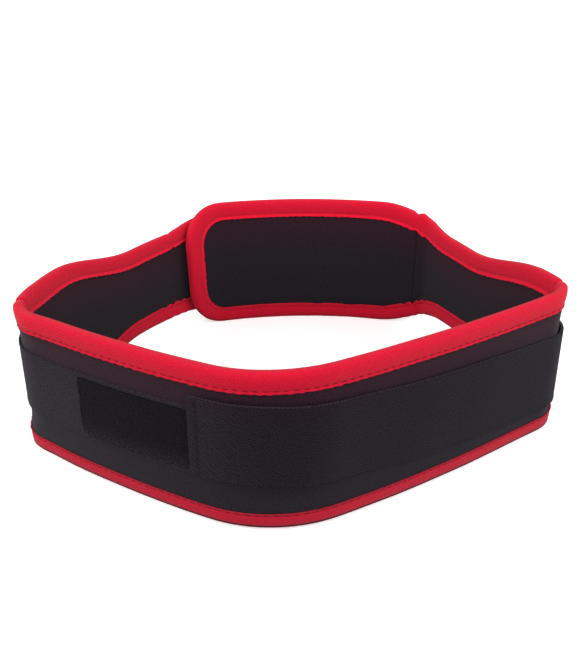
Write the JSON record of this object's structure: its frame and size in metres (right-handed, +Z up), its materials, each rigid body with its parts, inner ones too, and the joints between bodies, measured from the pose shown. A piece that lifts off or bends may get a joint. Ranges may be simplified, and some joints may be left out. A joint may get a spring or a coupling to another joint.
{
  "type": "weightlifting belt",
  "caption": "Padded weightlifting belt closed into a waist loop: a waisted foam panel with a bound edge, overlapped ends and a tightening strap that sticks to a loop patch at the front.",
  "frame": {"origin": "centre of the bounding box, on the ground under the lower edge", "axes": "+Z up, -Y to the front of the loop where the strap fastens, +X to the right as the front is seen"},
  "size_m": [0.3482, 0.3018, 0.1],
  "materials": {
    "foam_cloth": "matte knitted cloth on foam",
    "red_tape": "twill woven tape",
    "strap_cloth": "smooth brushed cloth",
    "loop_pile": "fuzzy looped pile",
    "hook_tape": "stiff woven hook tape",
    "strap_webbing": "twill webbing"
  },
  "bodies": {
    "root": {"foam_panel": "foam_cloth", "edge_tape": "red_tape", "base_strap": "strap_cloth", "loop_patch": "loop_pile", "strap_hook": "hook_tape", "tightening_strap": "strap_webbing", "end_fastener": "hook_tape"}
  },
  "joints": []
}
